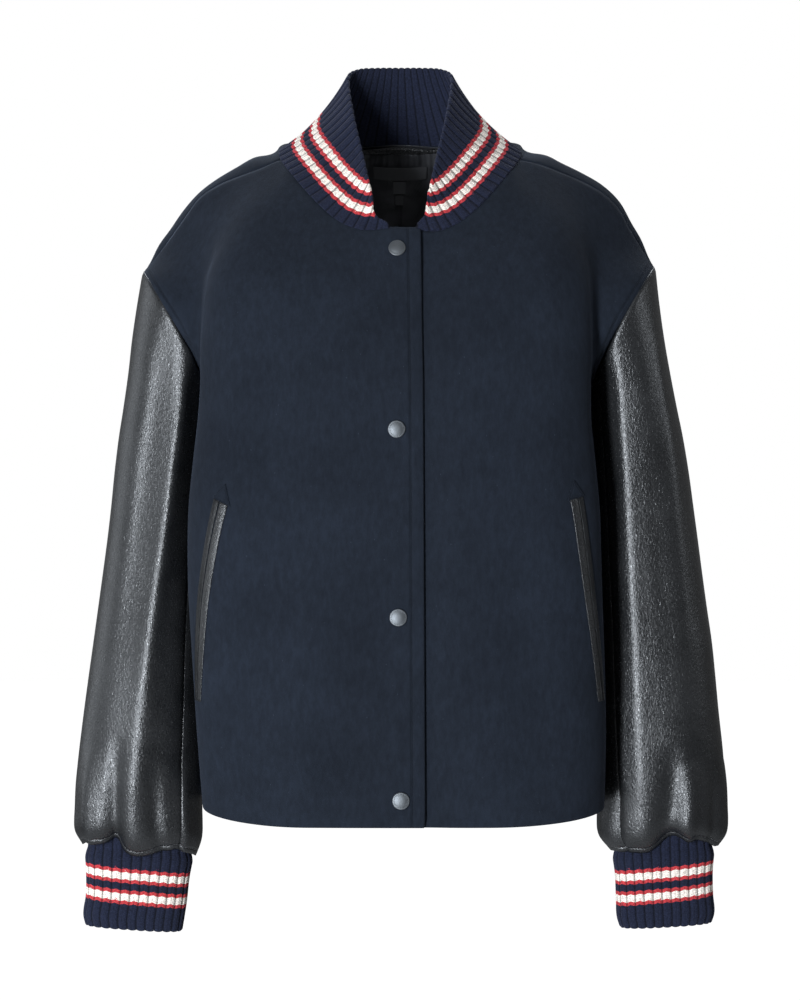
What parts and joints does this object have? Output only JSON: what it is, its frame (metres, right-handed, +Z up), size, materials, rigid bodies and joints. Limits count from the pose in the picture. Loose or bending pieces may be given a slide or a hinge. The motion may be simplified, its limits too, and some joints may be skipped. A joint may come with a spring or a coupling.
{
  "type": "varsity jacket",
  "caption": "Varsity jacket filled out as worn: wool body, leather sleeves, striped rib-knit stand collar and cuffs, snap front, two slanted welt pockets.",
  "frame": {"origin": "inside the neck, level with the points where the collar meets the shoulder seams; where the wearer's shoulders hold the jacket", "axes": "+Z up, -Y the jacket's front, +X the wearer's left side"},
  "size_m": [0.5724, 0.2425, 0.7614],
  "materials": {
    "navy_wool": "matte felted wool",
    "black_leather": "semi-gloss pebbled",
    "navy_rib_knit": "matte rib knit",
    "black_satin": "satin",
    "grey_metal": "satin grey"
  },
  "bodies": {
    "root": {"back": "navy_wool", "collar": "navy_rib_knit", "cuff_left": "navy_rib_knit", "cuff_right": "navy_rib_knit", "front_over": "navy_wool", "front_under": "navy_wool", "label_care": "black_satin", "label_main": "black_satin", "label_size": "black_satin", "lining_back": "black_satin", "neck_facing": "black_leather", "pocket_left_back_welt": "black_leather", "pocket_left_front_welt": "black_leather", "pocket_left_tab": "navy_wool", "pocket_right_back_welt": "black_leather", "pocket_right_front_welt": "black_leather", "pocket_right_tab": "navy_wool", "sleeve_left_under": "black_leather", "sleeve_left_upper": "black_leather", "sleeve_right_under": "black_leather", "sleeve_right_upper": "black_leather", "snap_1": "grey_metal", "snap_2": "grey_metal", "snap_3": "grey_metal", "snap_4": "grey_metal"}
  },
  "joints": []
}
